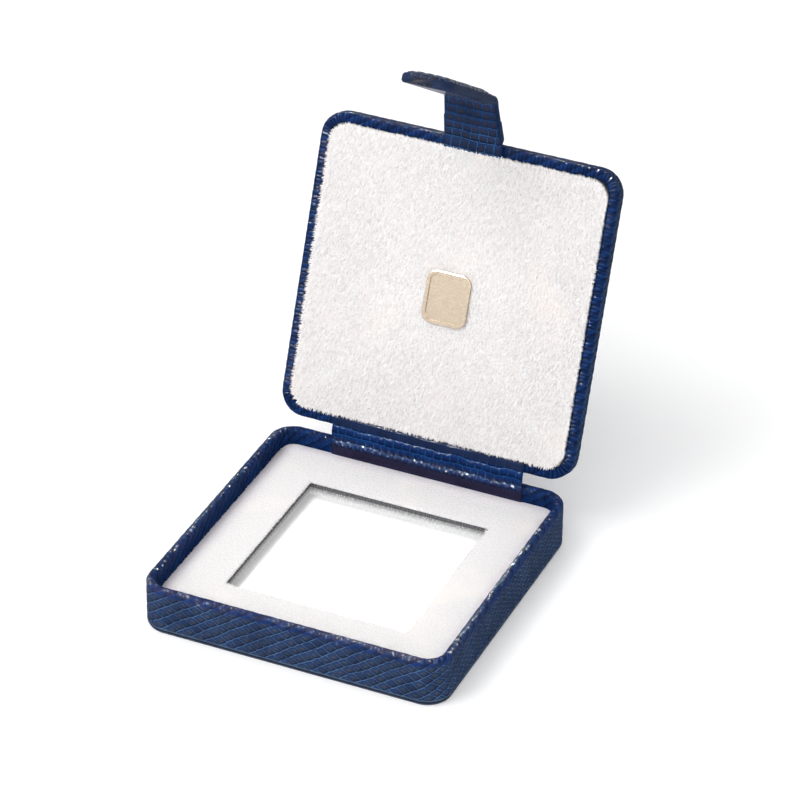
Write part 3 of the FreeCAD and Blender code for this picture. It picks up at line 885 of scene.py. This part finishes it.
def suede_face(name, width, depth, radius, window, low, high, roll, crown, material, middle_y=0.0,
               after=None, back_rise=0.0):
    """A suede face: rings from its outer foot over the rolled edge, inwards to the middle or to a
    square window."""
    profile = [(0.0, low)]
    for k in range(7):
        angle = k * math.pi / 12
        profile.append((roll * (1 - math.cos(angle)), high - roll * (1 - math.sin(angle))))
    limit = min(width, depth) / 2
    if window:
        reach = (min(width, depth) - window) / 2
        inner_roll = 0.35
        count = 16
        for k in range(1, count):
            profile.append((roll + (reach - inner_roll - roll) * k / count, high))
        for k in range(5):
            angle = k * math.pi / 8
            profile.append((reach - inner_roll * (1 - math.sin(angle)),
                            high - inner_roll * (1 - math.cos(angle))))
        profile.append((reach, low))
    else:
        for k in range(1, 30):
            share = k / 30
            profile.append((roll + (limit - 1.5 - roll) * share, high))
    points, nap = [], []
    for inset, height in profile:
        if window and inset > roll:
            share = (inset - roll) / ((min(width, depth) - window) / 2 - roll)
            outer = ring_points(width, depth, radius, roll, FACE_SIDE, FACE_CORNER)
            inner = ring_points(window, window, WINDOW_CORNER, 0.0, FACE_SIDE, FACE_CORNER)
            ring = [tuple(np.array(o) * (1 - share) + np.array(i) * share) for o, i in zip(outer, inner)]
        else:
            ring = ring_points(width, depth, radius, inset, FACE_SIDE, FACE_CORNER)
        count = len(ring)
        for x, y in ring:
            lift = 0.0
            if crown and height > high - 0.05:
                lift = crown * (1 - (2 * x / width) ** 4) * (1 - (2 * y / depth) ** 4)
            if height > low:
                lift += back_rise * smooth((y - depth / 2 + 4.5) / 3.5)
            points.append((x, y + middle_y, height + lift))
            nap.append((x, y, 0.0))
    faces = ring_faces(len(profile), count)
    if not window:
        faces.append(tuple(range((len(profile) - 1) * count, len(profile) * count)))
    if after is not None:
        points = after(points)
    return make_mesh(name, points, faces, material, {"nap": nap})


PUFF_FRAMES = 20


def puffed(obj, most_mm):
    """Fills the pad's cloth out under pressure, held along its glued foot, and keeps the first part of
    each point's swell."""
    mesh = obj.data
    still = [vertex.co.copy() for vertex in mesh.vertices]
    held = obj.vertex_groups.new(name="glued_foot")
    held.add(list(range(PAD_FOOT_POINTS)), 1.0, "REPLACE")
    cloth = obj.modifiers.new("puff", "CLOTH")
    cloth.settings.use_pressure = True
    cloth.settings.uniform_pressure_force = 4.0
    cloth.settings.effector_weights.gravity = 0.0
    cloth.settings.vertex_group_mass = held.name
    stage = bpy.context.scene
    for step in range(1, PUFF_FRAMES + 1):
        stage.frame_set(step)
    swollen = obj.evaluated_get(bpy.context.evaluated_depsgraph_get()).data
    moves = [after.co - before for after, before in zip(swollen.vertices, still)]
    obj.modifiers.remove(cloth)
    stage.frame_set(1)
    for vertex, before, move in zip(mesh.vertices, still, moves):
        length = move.length
        vertex.co = before + (move * min(1.0, most_mm * MM / length) if length > 0 else move)
    obj.vertex_groups.remove(held)
    mesh.update()


def flipped(points):
    """Mirrors heights about the pad's face, which looks down in the closed lid, and opens the lid."""
    p = np.array(points, float)
    p[:, 2] = PAD_FACE + (PAD_FACE - p[:, 2])
    return opened(p)


def nap_fibres(name, spots, lean, length, width, material, after=None):
    """Short tapered tufts of pile. spots are (x, y, z, way x, way y), and lean is the way that the pile
    lies, to which a spot adds its own way."""
    rng = random.Random(7)
    points, nap, faces = [], [], []
    for x, y, z, way_x, way_y in spots:
        angle = math.atan2(lean[1] + way_y * 2, lean[0] + way_x * 2) + rng.gauss(0, 0.45)
        size = length * rng.uniform(0.55, 1.25)
        rise = rng.uniform(0.25, 0.6)
        dx, dy = math.cos(angle), math.sin(angle)
        half = width * rng.uniform(0.6, 1.2) / 2
        side_x, side_y = -dy * half, dx * half
        at = len(points)
        mid_x, mid_y, mid_z = x + dx * size * 0.55, y + dy * size * 0.55, z + size * rise * 0.45
        points += [(x - side_x, y - side_y, z), (x + side_x, y + side_y, z),
                   (mid_x - side_x * 0.8, mid_y - side_y * 0.8, mid_z),
                   (mid_x + side_x * 0.8, mid_y + side_y * 0.8, mid_z),
                   (x + dx * size, y + dy * size, z + size * rise * 0.55)]
        nap += [(x, y, 0.0)] * 5
        faces += [(at, at + 1, at + 3, at + 2), (at + 2, at + 3, at + 4)]
    if after is not None:
        points = after(points)
    return make_mesh(name, points, faces, material, {"nap": nap})


def scattered(count, width, depth, z, radius):
    """Random spots on a rounded rectangle, a little in from its edge."""
    rng = random.Random(3)
    margin = 0.5
    out = []
    while len(out) < count:
        x = rng.uniform(-width / 2 + margin, width / 2 - margin)
        y = rng.uniform(-depth / 2 + margin, depth / 2 - margin)
        over_x, over_y = abs(x) - width / 2 + radius, abs(y) - depth / 2 + radius
        if over_x > 0 and over_y > 0 and math.hypot(over_x, over_y) > radius - margin:
            continue
        out.append((x, y, z, 0.0, 0.0))
    return out


def edge_spots(count, width, depth, radius, inset, z, outward, seed):
    """Random spots along a rounded rectangle, each with the way out (or in) across its edge."""
    rng = random.Random(seed)
    ring = ring_points(width, depth, radius, inset, 160, 24)
    out = []
    for _ in range(count):
        k = rng.randrange(len(ring))
        (x, y), (next_x, next_y) = ring[k], ring[(k + 1) % len(ring)]
        span = math.hypot(next_x - x, next_y - y)
        if span < 1e-6:
            continue
        share = rng.random()
        across = (next_y - y) / span * outward, (x - next_x) / span * outward
        out.append((x + (next_x - x) * share, y + (next_y - y) * share, z + rng.uniform(-0.25, 0.1),
                    *across))
    return out


PAD_CORNER, MAT_CORNER, WINDOW_CORNER = 6.0, 5.0, 0.4
FIT = 0.4


def lid_pad(material):
    """The lid's padded suede face with its pile."""
    width = CASE_WIDTH - 2 * LID_RIM - FIT
    depth = LID_BACK - LID_FRONT - 2 * LID_RIM - FIT
    middle = (LID_BACK + LID_FRONT) / 2
    start = PAD_FACE + 0.25
    pad = suede_face("pad_face", width, depth, PAD_CORNER, 0.0, start - 1.1, start, 0.7, 0.1, material,
                     middle, flipped)
    puffed(pad, 0.35)
    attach(pad, "lid")
    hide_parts("pad_suede")
    spots = scattered(30000, width, depth, PAD_FACE + 0.1, PAD_CORNER)
    spots += edge_spots(2600, width, depth, PAD_CORNER, 0.35, PAD_FACE - 0.1, 1.0, 11)
    spots = [(x, y + middle, z, way_x, way_y) for x, y, z, way_x, way_y in spots]
    pile = nap_fibres("pad_pile", spots, (-0.35, 0.9), 1.15, 0.24, material, flipped)
    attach(pile, "lid")


def base_mat(material):
    """The base's suede mat round the well, with the pile along its edges."""
    inner = CASE_WIDTH - 2 * WALL - FIT
    mat = suede_face("mat_face", inner, inner, MAT_CORNER, WELL, MAT_LOW, MAT_TOP, 0.3, 0.0, material,
                     back_rise=0.9)
    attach(mat, "base")
    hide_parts("mat_suede")
    spots = edge_spots(2200, WELL, WELL, WINDOW_CORNER, -0.05, MAT_TOP - 0.15, -1.0, 5)
    spots += edge_spots(1500, inner, inner, MAT_CORNER, 0.4, MAT_TOP - 0.1, 1.0, 6)
    fringe = nap_fibres("mat_pile", spots, (0.0, 0.0), 0.75, 0.22, material)
    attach(fringe, "base")


# ---- scene

def area_light(name, place, target, size, power, colour=(1.0, 1.0, 1.0)):
    """A soft box aimed at a point. Places are in metres."""
    data = bpy.data.lights.new(name, "AREA")
    data.shape = "RECTANGLE"
    data.size, data.size_y = size
    data.energy = power
    data.color = colour
    obj = bpy.data.objects.new(name, data)
    obj.location = place
    direction = Vector(target) - Vector(place)
    obj.rotation_euler = direction.to_track_quat("-Z", "Y").to_euler()
    bpy.context.collection.objects.link(obj)
    return obj


def studio_floor():
    """A pale floor just under the case."""
    material = Graph("studio_floor").finished({
        "Base Color": (0.95, 0.95, 0.955), "Roughness": 0.9, "Specular IOR Level": 0.0,
        "Emission Color": (1.0, 1.0, 1.0), "Emission Strength": 0.12})
    side, low = 2500.0, -0.05
    points = [(x * side, y * side, low) for x, y in ((-1, -1), (1, -1), (1, 1), (-1, 1))]
    floor = make_mesh("studio_floor", points, [(0, 1, 2, 3)], material, rounded=False)


def studio():
    """Floor, white world, soft boxes, and narrow lamps that only make glints."""
    studio_floor()
    world = bpy.data.worlds.new("studio_world")
    bpy.context.scene.world = world
    world.use_nodes = True
    background = world.node_tree.nodes["Background"]
    background.inputs[0].default_value = (1.0, 1.0, 1.0, 1.0)
    background.inputs[1].default_value = 0.58
    area_light("key", (-0.50, -0.55, 1.10), (0, 0.02, 0.03), (0.75, 0.75), 8.5)
    area_light("front_fill", (0.40, -1.20, 0.75), (0, 0.06, 0.06), (1.0, 0.8), 8.0)
    area_light("top", (-0.30, 0.45, 1.15), (0, 0.08, 0.10), (0.9, 0.6), 1.5)
    glints = [((-0.41, -0.84, 0.74), 0.07, 26.0), ((-0.41, 0.38, 1.04), 0.40, 200.0),
              ((-0.62, -0.45, 0.95), 0.20, 70.0)]
    for number, (place, tall, power) in enumerate(glints):
        glint = area_light(f"glint_{number}", place, (0, 0.02, 0.05), (0.06, tall), power)
        glint.visible_diffuse = False
        glint.data.cycles.max_bounces = 0
    bpy.context.scene.view_settings.view_transform = "Standard"


def camera():
    """The camera, with its turn, height, roll and distance about a point of the case."""
    azimuth, elevation, roll = (math.radians(v) for v in (23.81, 32.72, 0.69))
    target = Vector((0.00285, 0.0235, 0.05189))
    distance = 1.2146
    level = math.cos(elevation)
    back = Vector((math.sin(azimuth) * level, -math.cos(azimuth) * level, math.sin(elevation)))
    right = Vector((math.cos(azimuth), math.sin(azimuth), 0.0))
    up = back.cross(right)
    rolled_right = right * math.cos(roll) + up * math.sin(roll)
    rolled_up = up * math.cos(roll) - right * math.sin(roll)
    data = bpy.data.cameras.new("camera")
    data.sensor_width = 36.0
    data.lens = 183.0
    data.clip_end = 20.0
    obj = bpy.data.objects.new("camera", data)
    turn = Matrix((rolled_right, rolled_up, back)).transposed().to_4x4()
    obj.matrix_world = Matrix.Translation(target + back * distance) @ turn
    bpy.context.collection.objects.link(obj)
    bpy.context.scene.camera = obj


def paint(node, material):
    """Gives a CAD node a material."""
    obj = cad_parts[node]
    if not obj.material_slots:
        obj.data.materials.append(material)
    for item in obj.material_slots:
        item.link = "OBJECT"
        item.material = material


def leathers():
    """The four coverings' materials: base, lid, hinge strip and tab."""
    round_end = REACH + TAB_LENGTH
    base = Leather("base_scales", BIAS, relief=0.30, brown_share=0.75, line_colour=PALE_LINE,
                   line_share=0.7, shine_at=(18.8, 19.8, 24.5, 26.5), shine=0.18, shine_elsewhere=0.07,
                   patch_colour=SLATE, foot=(7.0, 7.4, 7.9), plain=(19.2, 20.2, 0.15, 0.75),
                   painted_sheen=(18.6, 19.8, 0.75))
    lid = Leather("lid_scales", BIAS, relief=0.30, brown_share=0.6, line_colour=PALE_LINE, line_share=0.6,
                  shine_at=(1.0, 2.0, 9.5, 11.0), shine=0.06, shine_elsewhere=0.035,
                  patch_colour=SLATE, pleats=(6.0, 7.4), plain=(6.0, 7.0, 0.1, 0.1), painted_sheen=(5.6, 6.8, 0.5))
    hinge = Leather("hinge_scales", STRAIGHT, relief=0.15, brown_share=0.2, line_colour=BLUE_LINE,
                    line_share=0.7, shine_at=(9.5, 10.8, 12.8, 13.6), shine=0.45, shine_elsewhere=0.02,
                    broken=0.05, bands=(9.6, 10.4, 16.8, 17.8), painted_sheen=(9.0, 10.5, 0.7))
    tab = Leather("tab_scales", SQUARES, relief=0.30, brown_share=0.9, line_colour=INK_LINE,
                  line_share=0.75, shine_at=(REACH + 1.0, REACH + 3.0, round_end - 3.0, round_end - 1.5),
                  shine=0.40, shine_elsewhere=0.10, broken=0.1, quiet_edges=True,
                  tip=(REACH - 3.0, REACH + 4.0))
    return [leather_material(leather) for leather in (base, lid, hinge, tab)]


def paint_nodes():
    """Materials for the CAD nodes that show, and for the pieces inside."""
    board = hidden_material("grey_board", (0.32, 0.29, 0.25), (0.24, 0.21, 0.18), 0.9)
    foam = hidden_material("white_foam", (0.86, 0.86, 0.84), (0.76, 0.76, 0.74), 1.8)
    steel = hidden_material("bare_steel", (0.56, 0.56, 0.58), (0.45, 0.45, 0.47), 0.8, 1.0, (0.28, 0.42))
    for name in ("base_wall_frame", "base_floor_board", "base_bottom_card", "lid_board", "lid_rim_frame",
                 "pad_card"):
        paint(name, board)
    for name in ("well_spacer", "pad_foam"):
        paint(name, foam)
    for name in ("keeper_plate", "badge_push_nuts", "tip_magnet"):
        paint(name, steel)
    paint("mat_board", board_edge_material())
    paint("well_lining", lining_material())
    gold = gold_material()
    paint("badge_plate", gold)
    paint("badge_posts", gold)
    paint("base_bottom_leather", plain_leather_material())


camera()
studio()
base_leather, lid_leather, hinge_leather, tab_leather = leathers()
base_skin(base_leather)
lid_skin(lid_leather)
hinge_strip(hinge_leather)
closing_tab(tab_leather)
lid_pad(suede_material("pad_suede_pile", (0.925, 0.91, 0.90), (0.62, 0.59, 0.60), (1.9, 0.8, 1.0), 0.8))
base_mat(suede_material("mat_suede_pile", (0.82, 0.805, 0.80), (0.71, 0.69, 0.69), (1.6, 1.3, 1.0), 0.3,
                        CASE_WIDTH / 2 - WALL))
paint_nodes()
